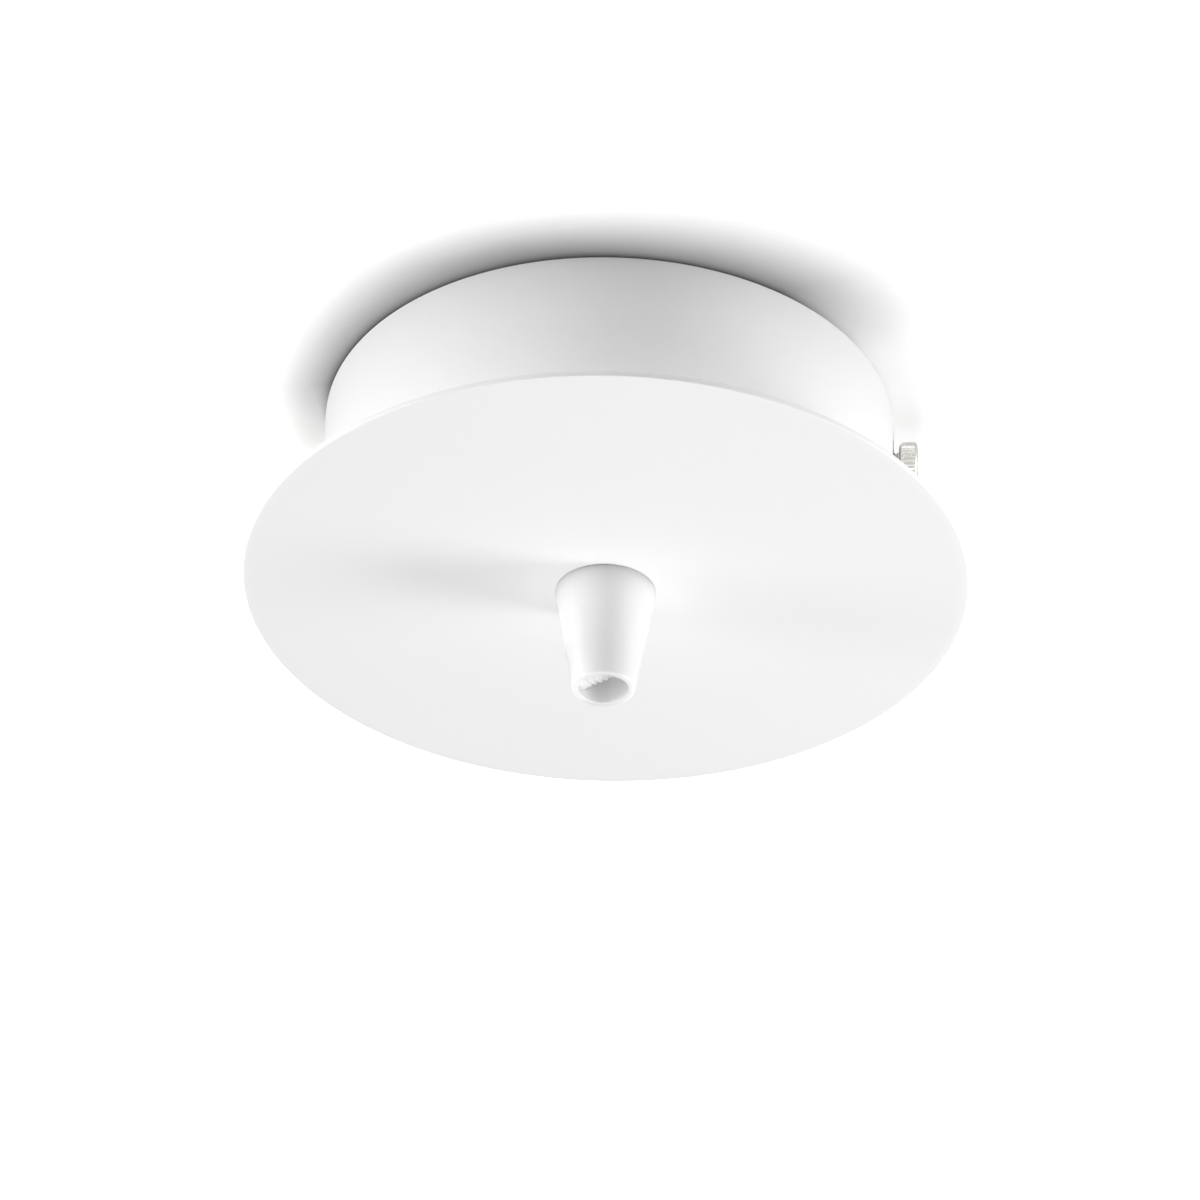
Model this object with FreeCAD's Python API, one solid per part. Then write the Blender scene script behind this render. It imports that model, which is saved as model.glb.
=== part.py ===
import FreeCAD
import Part
import math
import os
from FreeCAD import Vector

# Electrical ceiling rose. Lengths are millimetres and angles are degrees.
# The ceiling is the plane z = 0, the rose hangs below it, and its axis is the Z axis.
# The bracket and the two thumb screws lie along the X axis.

# Cover disc
cover_diameter = 150.0
cover_thickness = 1.5
cover_lower_edge_radius = 0.3
cover_upper_edge_radius = 0.3

# Canopy cup
cup_diameter = 120.0
cup_wall = 1.0
cup_depth = 39.5
cup_corner_radius = 2.5
cup_rim_radius = 0.3
cup_screw_hole_diameter = 5.6

# Cord grip: a cone that hangs below the disc, with a hollow nipple that stands up through the cup's floor
grip_base_diameter = 21.0
grip_tip_diameter = 12.9
grip_height = 24.1
grip_base_edge_radius = 0.3
grip_tip_edge_radius = 0.5
grip_bore_diameter = 10.3
grip_bore_depth = 16.6
grip_mouth_radius = 0.4
nipple_diameter = 10.0
nipple_bore_diameter = 7.6
nipple_tail = 1.5
nipple_chamfer = 0.5
nipple_hole_clearance = 0.25

# Cord clamp screw, square to the cone's flank
clamp_screw_diameter = 6.0
clamp_screw_length = 7.4
clamp_screw_height = 4.6
clamp_screw_bearing = 159.0
clamp_screw_recess = 1.0
clamp_screw_slot_width = 1.0
clamp_screw_slot_depth = 1.4
clamp_screw_chamfer = 0.5

# Nut and toothed lock washer on the nipple
nut_width = 14.0
nut_thickness = 3.0
nut_chamfer_angle = 30.0
washer_diameter = 18.0
washer_thickness = 1.0
washer_tooth_count = 12
washer_tooth_depth = 2.2
washer_tooth_gap = 1.6

# Ceiling bracket
bracket_width = 20.0
bracket_thickness = 1.5
bracket_bend_radius = 1.0
ear_clearance = 0.6
ear_drop = 16.0
ear_corner_radius = 4.0
ear_collar_diameter = 6.6
ear_collar_length = 1.5
slot_width = 4.8
slot_length = 16.0
slot_spacing = 76.0
cable_hole_diameter = 14.0
earth_tab_place = -20.0
earth_tab_width = 11.0
earth_tab_drop = 14.0
earth_tab_corner_radius = 3.0

# Thumb screws
thumb_screw_drop = 10.0
thumb_screw_diameter = 4.0
thumb_screw_length = 10.0
thumb_screw_gap = 1.1
thumb_screw_chamfer = 0.4
thumb_head_diameter = 8.2
thumb_head_length = 3.9
thumb_head_corner_radius = 1.2
knurl_count = 26
knurl_depth = 0.35

# Earth screw and its toothed washer
earth_screw_drop = 8.5
earth_screw_diameter = 4.0
earth_screw_length = 8.0
earth_head_diameter = 7.0
earth_head_length = 2.4
earth_slot_width = 1.2
earth_slot_depth = 1.2
earth_washer_diameter = 8.6
earth_washer_thickness = 0.8
earth_washer_tooth_count = 10
earth_washer_tooth_depth = 1.0
earth_washer_tooth_gap = 0.9
earth_seat_gap = 0.15

# Terminal block
pole_count = 3
pole_pitch = 12.5
housing_place = 20.0
housing_width = 18.0
housing_base_thickness = 3.0
housing_corner_radius = 1.5
housing_floor = 1.2
housing_wall = 0.9
channel_edge_radius = 2.2
housing_drop = 14.0
well_spacing = 9.2
well_diameter = 6.5
well_bore_diameter = 4.3
well_edge_radius = 0.4
barrel_diameter = 5.4
barrel_length = 15.0
barrel_bore_diameter = 3.2
barrel_play = 0.05
terminal_screw_diameter = 3.0
terminal_screw_length = 5.0
terminal_head_diameter = 4.0
terminal_head_length = 1.8
terminal_slot_width = 0.8
terminal_slot_depth = 0.9
terminal_screw_gap = 0.05

# Screws that hold the terminal block
housing_screw_diameter = 2.5
housing_screw_length = 4.0
housing_head_diameter = 4.5
housing_head_length = 1.6
housing_slot_width = 0.8
housing_slot_depth = 0.8
housing_hole_diameter = 2.9

# Small edges of the headed screws, and the radial gap of every screw in its thread
head_edge_radius = 0.3
screw_end_chamfer = 0.3
thread_gap = 0.05

# Places worked out from the sizes above
cup_radius = cup_diameter / 2
cup_floor_z = -cup_depth + cup_wall
cover_bottom_z = -cup_depth - cover_thickness
grip_tip_z = cover_bottom_z - grip_height
washer_top_z = cup_floor_z + washer_thickness
nut_top_z = washer_top_z + nut_thickness
nipple_top_z = nut_top_z + nipple_tail
ear_face_x = math.sqrt((cup_radius - cup_wall - ear_clearance) ** 2 - (bracket_width / 2) ** 2)
tab_face_y = -bracket_width / 2 - bracket_bend_radius - bracket_thickness
barrel_z = -bracket_thickness - housing_floor - barrel_play - barrel_diameter / 2
housing_bottom_z = -bracket_thickness - housing_drop

x_axis = Vector(1, 0, 0)
y_axis = Vector(0, 1, 0)
z_axis = Vector(0, 0, 1)
origin = Vector(0, 0, 0)


def corner(previous, point, following, radius):
    """Return the start, middle and end of the arc that rounds the corner at point."""
    back = (previous - point).normalize()
    ahead = (following - point).normalize()
    half = back.getAngle(ahead) / 2
    inward = (back + ahead).normalize()
    reach = radius / math.tan(half)
    start = point + back * reach
    middle = point + inward * (radius / math.sin(half) - radius)
    end = point + ahead * reach
    return start, middle, end


def outline(points):
    """Return a face bounded by straight lines through points of (x, y, z, corner radius)."""
    places = [Vector(x, y, z) for x, y, z, radius in points]
    radii = [radius for x, y, z, radius in points]
    count = len(points)
    runs = []
    for i in range(count):
        if radii[i] > 0:
            arc = corner(places[i - 1], places[i], places[(i + 1) % count], radii[i])
        else:
            arc = (places[i], None, places[i])
        runs.append(arc)
    edges = []
    for i in range(count):
        start, middle, end = runs[i]
        if middle is not None:
            edges.append(Part.Arc(start, middle, end).toShape())
        after = runs[(i + 1) % count][0]
        if end.distanceToPoint(after) > 1e-6:
            edges.append(Part.makeLine(end, after))
    return Part.Face(Part.Wire(edges))


def turned(points):
    """Revolve a profile of (radius, height, corner radius) about the Z axis."""
    face = outline([(r, 0, z, rounding) for r, z, rounding in points])
    return face.revolve(origin, z_axis, 360)


def rod(diameter, start, direction, length):
    return Part.makeCylinder(diameter / 2, length, start, direction)


def plate(width, depth, height, corner_radius):
    """Return a plate centred on the Z axis, from z = 0 up to its height, with rounded upright corners."""
    x = width / 2
    y = depth / 2
    face = outline([(-x, -y, 0, corner_radius), (x, -y, 0, corner_radius),
                    (x, y, 0, corner_radius), (-x, y, 0, corner_radius)])
    return face.extrude(Vector(0, 0, height))


def aimed(shape, direction, place):
    """Turn a shape built along +Z so that it points along direction, and move its origin to place."""
    turn = FreeCAD.Rotation(z_axis, direction)
    shape = shape.copy()
    shape.Placement = FreeCAD.Placement(place, turn)
    return shape


def bar(width, depth, height, place):
    """Return a box whose lower face is centred on place."""
    corner_place = place - Vector(width / 2, depth / 2, 0)
    return Part.makeBox(width, depth, height, corner_place)


def headed_screw(diameter, length, head_diameter, head_length, slot_width, slot_depth):
    """Return a slotted cheese-head screw along Z: shank from z = 0 to its length, head below z = 0."""
    shank = turned([(0, 0, 0), (diameter / 2, 0, 0), (diameter / 2, length - screw_end_chamfer, 0),
                    (diameter / 2 - screw_end_chamfer, length, 0), (0, length, 0)])
    head = turned([(0, 0, 0), (0, -head_length, 0), (head_diameter / 2, -head_length, head_edge_radius),
                   (head_diameter / 2, 0, 0)])
    slot = bar(2 * head_diameter, slot_width, slot_depth, Vector(0, 0, -head_length))
    return shank.fuse(head).removeSplitter().cut(slot)


def toothed_washer(diameter, hole_diameter, thickness, teeth, tooth_depth, tooth_gap):
    """Return a flat washer with outer teeth, from z = 0 up to its thickness."""
    ring = turned([(hole_diameter / 2, 0, 0), (diameter / 2, 0, 0),
                   (diameter / 2, thickness, 0), (hole_diameter / 2, thickness, 0)])
    gaps = []
    for i in range(teeth):
        start = Vector(diameter / 2 - tooth_depth, -tooth_gap / 2, 0)
        gap = Part.makeBox(2 * tooth_depth, tooth_gap, thickness, start)
        gap.rotate(origin, z_axis, 360 * i / teeth)
        gaps.append(gap)
    return ring.cut(gaps)


def make_cover_disc():
    hole = nipple_diameter / 2 + nipple_hole_clearance
    edge = cover_diameter / 2
    return turned([(hole, -cup_depth, 0), (hole, cover_bottom_z, 0),
                   (edge, cover_bottom_z, cover_lower_edge_radius),
                   (edge, -cup_depth, cover_upper_edge_radius)])


def make_canopy_cup():
    hole = nipple_diameter / 2 + nipple_hole_clearance
    inner = cup_radius - cup_wall
    cup = turned([(hole, cup_floor_z, 0), (hole, -cup_depth, 0), (cup_radius, -cup_depth, cup_corner_radius),
                  (cup_radius, 0, cup_rim_radius), (inner, 0, cup_rim_radius),
                  (inner, cup_floor_z, cup_corner_radius - cup_wall)])
    start = Vector(-cup_diameter, 0, -thumb_screw_drop)
    return cup.cut(rod(cup_screw_hole_diameter, start, x_axis, 2 * cup_diameter))


def clamp_screw_frame():
    """Return where the clamp screw's axis meets the cone's flank, and its direction out of the cone."""
    slope = (grip_base_diameter - grip_tip_diameter) / 2 / grip_height
    radius = grip_tip_diameter / 2 + slope * clamp_screw_height
    bearing = math.radians(clamp_screw_bearing)
    place = Vector(radius * math.cos(bearing), radius * math.sin(bearing), grip_tip_z + clamp_screw_height)
    outward = Vector(math.cos(bearing), math.sin(bearing), -slope).normalize()
    return place, outward


def make_cord_grip():
    base = grip_base_diameter / 2
    tip = grip_tip_diameter / 2
    bore = grip_bore_diameter / 2
    nipple = nipple_diameter / 2
    passage = nipple_bore_diameter / 2
    bore_top = grip_tip_z + grip_bore_depth
    body = turned([(passage, nipple_top_z, 0), (nipple - nipple_chamfer, nipple_top_z, 0),
                   (nipple, nipple_top_z - nipple_chamfer, 0), (nipple, cover_bottom_z, 0),
                   (base, cover_bottom_z, grip_base_edge_radius), (tip, grip_tip_z, grip_tip_edge_radius),
                   (bore, grip_tip_z, grip_mouth_radius), (bore, bore_top, 0),
                   (passage, bore_top + bore - passage, 0)])
    place, outward = clamp_screw_frame()
    start = place - outward * math.hypot(place.x, place.y)
    return body.cut(rod(clamp_screw_diameter + 2 * thread_gap, start, outward, grip_base_diameter))


def make_cord_clamp_screw():
    radius = clamp_screw_diameter / 2
    chamfer = clamp_screw_chamfer
    screw = turned([(0, 0, 0), (0, -clamp_screw_length, 0), (radius - chamfer, -clamp_screw_length, 0),
                    (radius, chamfer - clamp_screw_length, 0), (radius, -chamfer, 0),
                    (radius - chamfer, 0, 0)])
    slot = bar(2 * clamp_screw_diameter, clamp_screw_slot_width, clamp_screw_slot_depth,
               Vector(0, 0, -clamp_screw_slot_depth))
    place, outward = clamp_screw_frame()
    return aimed(screw.cut(slot), outward, place - outward * clamp_screw_recess)


def make_grip_lock_washer():
    washer = toothed_washer(washer_diameter, nipple_diameter + 2 * nipple_hole_clearance, washer_thickness,
                            washer_tooth_count, washer_tooth_depth, washer_tooth_gap)
    washer.translate(Vector(0, 0, cup_floor_z))
    return washer


def make_grip_nut():
    corner_radius = nut_width / 2 / math.cos(math.radians(30))
    corners = []
    for i in range(6):
        angle = math.radians(60 * i)
        corners.append((corner_radius * math.cos(angle), corner_radius * math.sin(angle), 0, 0))
    prism = outline(corners).extrude(Vector(0, 0, nut_thickness))
    drop = (corner_radius - nut_width / 2) * math.tan(math.radians(nut_chamfer_angle))
    limit = turned([(0, 0, 0), (nut_width / 2, 0, 0), (corner_radius, drop, 0),
                    (corner_radius, nut_thickness - drop, 0), (nut_width / 2, nut_thickness, 0),
                    (0, nut_thickness, 0)])
    thread = rod(nipple_diameter + 2 * thread_gap, origin, z_axis, nut_thickness)
    nut = prism.common(limit).cut(thread)
    nut.translate(Vector(0, 0, washer_top_z))
    return nut


def make_ceiling_bracket():
    half = bracket_width / 2
    face_x = ear_face_x
    inner_x = face_x - bracket_thickness
    outer_bend = bracket_bend_radius + bracket_thickness
    strap = outline([(-face_x, -half, 0, outer_bend), (face_x, -half, 0, outer_bend),
                     (face_x, -half, -ear_drop, 0), (inner_x, -half, -ear_drop, 0),
                     (inner_x, -half, -bracket_thickness, bracket_bend_radius),
                     (-inner_x, -half, -bracket_thickness, bracket_bend_radius),
                     (-inner_x, -half, -ear_drop, 0), (-face_x, -half, -ear_drop, 0)])
    strap = strap.extrude(Vector(0, bracket_width, 0))
    ear_edges = []
    for edge in strap.Edges:
        low = abs(edge.CenterOfMass.z + ear_drop) < 1e-6
        side = abs(abs(edge.CenterOfMass.y) - half) < 1e-6
        if low and side:
            ear_edges.append(edge)
    strap = strap.makeFillet(ear_corner_radius, ear_edges)
    tab = outline([(0, -half, 0, 0), (0, tab_face_y, 0, outer_bend), (0, tab_face_y, -earth_tab_drop, 0),
                   (0, tab_face_y + bracket_thickness, -earth_tab_drop, 0),
                   (0, tab_face_y + bracket_thickness, -bracket_thickness, bracket_bend_radius),
                   (0, -half, -bracket_thickness, 0)]).extrude(Vector(earth_tab_width, 0, 0))
    tab.translate(Vector(earth_tab_place - earth_tab_width / 2, 0, 0))
    tab_edges = []
    for edge in tab.Edges:
        low = abs(edge.CenterOfMass.z + earth_tab_drop) < 1e-6
        side = abs(abs(edge.CenterOfMass.x - earth_tab_place) - earth_tab_width / 2) < 1e-6
        if low and side:
            tab_edges.append(edge)
    tab = tab.makeFillet(earth_tab_corner_radius, tab_edges)
    collars = []
    for side in (-1, 1):
        start = Vector(side * (inner_x - ear_collar_length), 0, -thumb_screw_drop)
        collars.append(rod(ear_collar_diameter, start, x_axis * side, ear_collar_length))
    bracket = strap.fuse([tab] + collars).removeSplitter()
    holes = [rod(thumb_screw_diameter + 2 * thread_gap, Vector(-cup_diameter, 0, -thumb_screw_drop), x_axis,
                 2 * cup_diameter),
             rod(cable_hole_diameter, Vector(0, 0, -bracket_thickness), z_axis, bracket_thickness),
             rod(earth_screw_diameter + 2 * thread_gap,
                 Vector(earth_tab_place, tab_face_y, -earth_screw_drop), y_axis, bracket_thickness)]
    for side in (-1, 1):
        slot = plate(slot_length, slot_width, bracket_thickness, slot_width / 2)
        slot.translate(Vector(side * slot_spacing / 2, 0, -bracket_thickness))
        holes.append(slot)
    for place in housing_screw_places():
        holes.append(rod(housing_screw_diameter + 2 * thread_gap, place, z_axis, bracket_thickness))
    return bracket.cut(holes)


def make_thumb_screw(side):
    """Return the thumb screw on the side of +X (side 1) or of -X (side -1)."""
    head_radius = thumb_head_diameter / 2
    head = turned([(0, 0, 0), (head_radius, 0, thumb_head_corner_radius),
                   (head_radius, thumb_head_length, thumb_head_corner_radius), (0, thumb_head_length, 0)])
    half_width = math.pi * head_radius / knurl_count
    outside = head_radius + knurl_depth
    grooves = []
    for i in range(knurl_count):
        groove = outline([(head_radius - knurl_depth, 0, 0, 0), (outside, 2 * half_width, 0, 0),
                          (outside, -2 * half_width, 0, 0)]).extrude(Vector(0, 0, thumb_head_length))
        groove.rotate(origin, z_axis, 360 * (i + 0.5) / knurl_count)
        grooves.append(groove)
    head = head.cut(grooves)
    shank_radius = thumb_screw_diameter / 2
    shank = turned([(0, 0, 0), (0, -thumb_screw_length, 0),
                    (shank_radius - thumb_screw_chamfer, -thumb_screw_length, 0),
                    (shank_radius, thumb_screw_chamfer - thumb_screw_length, 0), (shank_radius, 0, 0)])
    place = Vector(side * (cup_radius + thumb_screw_gap), 0, -thumb_screw_drop)
    return aimed(head.fuse(shank).removeSplitter(), x_axis * side, place)


def make_earth_washer():
    washer = toothed_washer(earth_washer_diameter, earth_screw_diameter + 2 * thread_gap,
                            earth_washer_thickness, earth_washer_tooth_count, earth_washer_tooth_depth,
                            earth_washer_tooth_gap)
    return aimed(washer, -y_axis, Vector(earth_tab_place, tab_face_y - earth_seat_gap, -earth_screw_drop))


def make_earth_screw():
    screw = headed_screw(earth_screw_diameter, earth_screw_length, earth_head_diameter, earth_head_length,
                         earth_slot_width, earth_slot_depth)
    seat_y = tab_face_y - earth_seat_gap - earth_washer_thickness
    return aimed(screw, y_axis, Vector(earth_tab_place, seat_y, -earth_screw_drop))


def pole_y(pole):
    """Return the place along Y of a pole of the terminal block, counted from 0."""
    return (pole - (pole_count - 1) / 2) * pole_pitch


def housing_screw_places():
    """Return where the housing screws meet the bracket's lower face, one between each two poles."""
    places = []
    for gap in range(pole_count - 1):
        places.append(Vector(housing_place, (pole_y(gap) + pole_y(gap + 1)) / 2, -bracket_thickness))
    return places


def well_places(pole):
    """Return the two places in the plane z = 0 where screws go into a pole's barrel."""
    places = []
    for side in (-1, 1):
        places.append(Vector(housing_place + side * well_spacing / 2, pole_y(pole), 0))
    return places


def make_terminal_housing():
    base = plate(housing_width, pole_count * pole_pitch, housing_base_thickness, housing_corner_radius)
    base.translate(Vector(housing_place, 0, -bracket_thickness - housing_base_thickness))
    cavity_diameter = barrel_diameter + 2 * barrel_play
    channel_width = cavity_diameter + 2 * housing_wall
    channel_bottom_z = barrel_z - channel_width / 2
    start_x = housing_place - housing_width / 2
    walls = []
    holes = []
    well_top_z = -bracket_thickness - housing_base_thickness / 2
    for pole in range(pole_count):
        left = pole_y(pole) - channel_width / 2
        right = pole_y(pole) + channel_width / 2
        profile = outline([(start_x, left, -bracket_thickness, 0),
                           (start_x, left, channel_bottom_z, channel_edge_radius),
                           (start_x, right, channel_bottom_z, channel_edge_radius),
                           (start_x, right, -bracket_thickness, 0)])
        walls.append(profile.extrude(Vector(housing_width, 0, 0)))
        holes.append(rod(cavity_diameter, Vector(start_x, pole_y(pole), barrel_z), x_axis, housing_width))
        for place in well_places(pole):
            well = turned([(0, housing_bottom_z, 0), (well_diameter / 2, housing_bottom_z, well_edge_radius),
                           (well_diameter / 2, well_top_z, 0), (0, well_top_z, 0)])
            well.translate(place)
            walls.append(well)
            holes.append(rod(well_bore_diameter, place + z_axis * housing_bottom_z, z_axis,
                             barrel_z - housing_bottom_z))
    for place in housing_screw_places():
        holes.append(rod(housing_hole_diameter, place - z_axis * housing_base_thickness, z_axis,
                         housing_base_thickness))
    return base.fuse(walls).removeSplitter().cut(holes)


def make_terminal_barrel(pole):
    start = Vector(housing_place - barrel_length / 2, pole_y(pole), barrel_z)
    barrel = rod(barrel_diameter, start, x_axis, barrel_length)
    holes = [rod(barrel_bore_diameter, start, x_axis, barrel_length)]
    for place in well_places(pole):
        holes.append(rod(terminal_screw_diameter + 2 * thread_gap,
                         place + z_axis * (barrel_z - barrel_diameter), z_axis, barrel_diameter))
    return barrel.cut(holes)


def make_terminal_screw(place):
    screw = headed_screw(terminal_screw_diameter, terminal_screw_length, terminal_head_diameter,
                         terminal_head_length, terminal_slot_width, terminal_slot_depth)
    tip_z = barrel_z - barrel_bore_diameter / 2 - terminal_screw_gap
    return aimed(screw, z_axis, place + z_axis * (tip_z - terminal_screw_length))


def make_housing_screw(place):
    screw = headed_screw(housing_screw_diameter, housing_screw_length, housing_head_diameter,
                         housing_head_length, housing_slot_width, housing_slot_depth)
    return aimed(screw, z_axis, place - z_axis * housing_base_thickness)


nodes = {
    "cover_disc": make_cover_disc(),
    "canopy_cup": make_canopy_cup(),
    "cord_grip": make_cord_grip(),
    "cord_clamp_screw": make_cord_clamp_screw(),
    "grip_lock_washer": make_grip_lock_washer(),
    "grip_nut": make_grip_nut(),
    "ceiling_bracket": make_ceiling_bracket(),
    "thumb_screw_right": make_thumb_screw(1),
    "thumb_screw_left": make_thumb_screw(-1),
    "earth_screw": make_earth_screw(),
    "earth_washer": make_earth_washer(),
    "terminal_housing": make_terminal_housing(),
}
for pole in range(pole_count):
    nodes["terminal_barrel_%d" % (pole + 1)] = make_terminal_barrel(pole)
    for letter, place in zip("ab", well_places(pole)):
        nodes["terminal_screw_%d%s" % (pole + 1, letter)] = make_terminal_screw(place)
for number, place in enumerate(housing_screw_places(), 1):
    nodes["housing_screw_%d" % number] = make_housing_screw(place)

os.makedirs("parts", exist_ok=True)
for name, shape in nodes.items():
    if len(shape.Solids) == 1:
        shape = shape.Solids[0]
    shape.exportStep("parts/%s.step" % name)
    print(name, "solids", len(shape.Solids), "valid", shape.isValid(), "volume", round(shape.Volume, 2))
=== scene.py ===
# Electrical ceiling rose: its looks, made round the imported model.
# Lengths in the dictionaries are millimetres and angles are degrees. Meshes are written in metres.
import math
import bmesh
import bpy
import numpy as np
from mathutils import Matrix, Vector


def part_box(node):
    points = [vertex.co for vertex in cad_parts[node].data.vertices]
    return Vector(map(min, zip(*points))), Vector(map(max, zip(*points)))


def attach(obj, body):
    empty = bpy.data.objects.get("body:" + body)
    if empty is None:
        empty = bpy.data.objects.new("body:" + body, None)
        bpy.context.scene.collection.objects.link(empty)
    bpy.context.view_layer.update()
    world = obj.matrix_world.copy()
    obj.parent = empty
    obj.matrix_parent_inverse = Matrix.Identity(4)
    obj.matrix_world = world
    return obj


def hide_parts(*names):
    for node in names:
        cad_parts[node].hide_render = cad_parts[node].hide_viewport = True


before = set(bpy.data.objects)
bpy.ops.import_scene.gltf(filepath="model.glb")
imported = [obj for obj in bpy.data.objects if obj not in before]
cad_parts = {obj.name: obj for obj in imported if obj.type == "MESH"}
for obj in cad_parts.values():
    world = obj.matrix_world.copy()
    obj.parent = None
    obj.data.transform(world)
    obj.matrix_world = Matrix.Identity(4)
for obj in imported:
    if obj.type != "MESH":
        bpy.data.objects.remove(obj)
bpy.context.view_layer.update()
mm = 0.001  # metres in a millimetre
weldDistance = 0.001 * mm
print("frame loaded:", len(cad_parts), "nodes")


# Small tools for numbers

def nodeBox(node):
    low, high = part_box(node)
    return np.array(low) / mm, np.array(high) / mm


def fullTurn(steps, start=0.0):
    return math.radians(start) + np.linspace(0, 2 * math.pi, steps + 1)


def roundedPath(corners, arcSteps=6):
    # Straight runs through corners of (radius, height, rounding). A corner with a rounding becomes the arc
    # that touches both of its runs. Its centre lies on the bisector, rounding / sin(half angle) away.
    places = np.array([corner[:2] for corner in corners], float)
    path = []
    for i, corner in enumerate(corners):
        rounding = corner[2] if len(corner) > 2 else 0
        if rounding == 0:
            path.append(places[i][None, :])
            continue
        back = places[i - 1] - places[i]
        ahead = places[(i + 1) % len(places)] - places[i]
        back /= np.linalg.norm(back)
        ahead /= np.linalg.norm(ahead)
        half = math.acos(np.clip(back @ ahead, -1, 1)) / 2
        bisector = (back + ahead) / np.linalg.norm(back + ahead)
        centre = places[i] + bisector * rounding / math.sin(half)
        start = places[i] + back * rounding / math.tan(half) - centre
        end = places[i] + ahead * rounding / math.tan(half) - centre
        weight = np.linspace(0, 1, arcSteps + 1)[:, None]
        sweep = math.pi - 2 * half
        arc = (np.sin((1 - weight) * sweep) * start + np.sin(weight * sweep) * end) / math.sin(sweep)
        path.append(centre + arc)
    return np.concatenate(path)


def stacked(*parts):
    # Points, from an array or a number for each coordinate.
    return np.stack(np.broadcast_arrays(*parts), axis=-1)


def polar(radius, angles, height):
    # Points from a radius, an angle about the Z axis and a height, each an array or a number.
    return stacked(radius * np.cos(angles), radius * np.sin(angles), height)


def turnedGrid(path, angles):
    # Every point (radius, height) of the path swung through every angle about the Z axis.
    return polar(path[:, 0, None], angles, path[:, 1, None])


def ruledGrid(first, last, rows=2):
    # Straight lines from each point of the first edge to the same point of the last edge.
    weight = np.linspace(0, 1, rows)[:, None, None]
    return first[None] * (1 - weight) + last[None] * weight


def threadRadius(height, angles, major, minor, pitch, start, end, taper):
    # A triangular wave that climbs one pitch a turn, with flats on its crest and root. It fades to the
    # major radius at the start, and ends in a cone of 45 degrees that is taper deep.
    phase = np.mod(height[:, None] / pitch - angles[None, :] / (2 * math.pi), 1)
    wave = np.clip((np.abs(2 * phase - 1) - 0.1) / 0.75, 0, 1)
    fade = np.clip((height - start) / (end - start) * abs(end - start) / pitch, 0, 1)[:, None]
    radius = major - (major - minor) * (1 - wave) * fade
    limit = major - taper + np.abs(end - height)[:, None]
    return np.minimum(radius, limit)


def threadedShank(sizes, angles, start, end, taper, levelsPerTurn=10):
    # A threaded surface round the Z axis from the start's height to the end's.
    levels = np.linspace(start, end, int(levelsPerTurn * abs(end - start) / sizes["pitch"] + 1e-6) + 1)
    radius = threadRadius(levels, angles, sizes["radius"], sizes["root"], sizes["pitch"], start, end, taper)
    return polar(radius, angles, levels[:, None])


def closingFace(ring):
    # The flat face inside a ring round the Z axis.
    return ruledGrid(ring, ring * [0, 0, 1])


def placed(grids, direction, place):
    # Grids built along +Z, turned so that +Z points along the direction, then moved to the place.
    turn = np.array(Vector((0, 0, 1)).rotation_difference(Vector(direction)).to_matrix())
    return [grid @ turn.T + np.array(place, float) for grid in grids]


# Holes through round walls

def windowEdge(bearing, halfWidth, low, high, columns, rows):
    # The edge of a window in a round wall as (angle, height): along the bottom, up, along the top and down.
    left, right = bearing - halfWidth, bearing + halfWidth
    bottom = stacked(np.linspace(left, right, columns + 1), low)
    rise = stacked(right, np.linspace(low, high, rows + 1))
    return np.concatenate([bottom, rise[1:], bottom[::-1][1:] * [1, 0] + [0, high],
                           rise[::-1][1:] * [0, 1] + [left, 0]])


def pierced(start, axis, base, slope):
    # Where lines from the start points along the axis leave the wall whose radius is base + slope * height:
    # the larger root of the quadratic for the distance along the line.
    a = axis[0] ** 2 + axis[1] ** 2 - (slope * axis[2]) ** 2
    reach = base + slope * start[:, 2]
    b = 2 * (start[:, 0] * axis[0] + start[:, 1] * axis[1] - slope * axis[2] * reach)
    c = start[:, 0] ** 2 + start[:, 1] ** 2 - reach ** 2
    distance = (-b + np.sqrt(b ** 2 - 4 * a * c)) / (2 * a)
    return start + distance[:, None] * axis


def holeGrids(edge, bearing, place, axis, radius, base, slope, rounding, inwards):
    # From a window's edge to a round hole in the wall, and over the hole's rounded edge. Returns the grids
    # and the last ring, which lies on the hole's own wall. inwards is 1 outside the wall and -1 inside it.
    place, axis = np.array(place, float), np.array(axis, float)
    side = np.cross([0, 0, 1], axis)
    side /= np.linalg.norm(side)
    up = np.cross(axis, side)
    offset = polar(base + slope * edge[:, 1], edge[:, 0], edge[:, 1]) - place
    angle = np.arctan2(offset @ up, offset @ side)

    def ring(ringRadius, depth):
        start = place + ringRadius * (np.cos(angle)[:, None] * side + np.sin(angle)[:, None] * up)
        return pierced(start - axis * (axis @ place), axis, base, slope) - axis * depth * inwards

    outer = ring(radius + rounding, 0)
    ringAngle = bearing + np.angle(np.exp(1j * (np.arctan2(outer[:, 1], outer[:, 0]) - bearing)))
    weight = np.linspace(0, 1, 5)[:, None] ** 0.8
    theta = edge[:, 0] * (1 - weight) + ringAngle * weight
    height = edge[:, 1] * (1 - weight) + outer[:, 2] * weight
    skin = polar(base + slope * height, theta, height)
    bend = np.linspace(0, math.pi / 2, 4)
    lip = np.stack([ring(radius + rounding * (1 - math.sin(t)), rounding * (1 - math.cos(t))) for t in bend])
    return [skin, lip], lip[-1]


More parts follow.
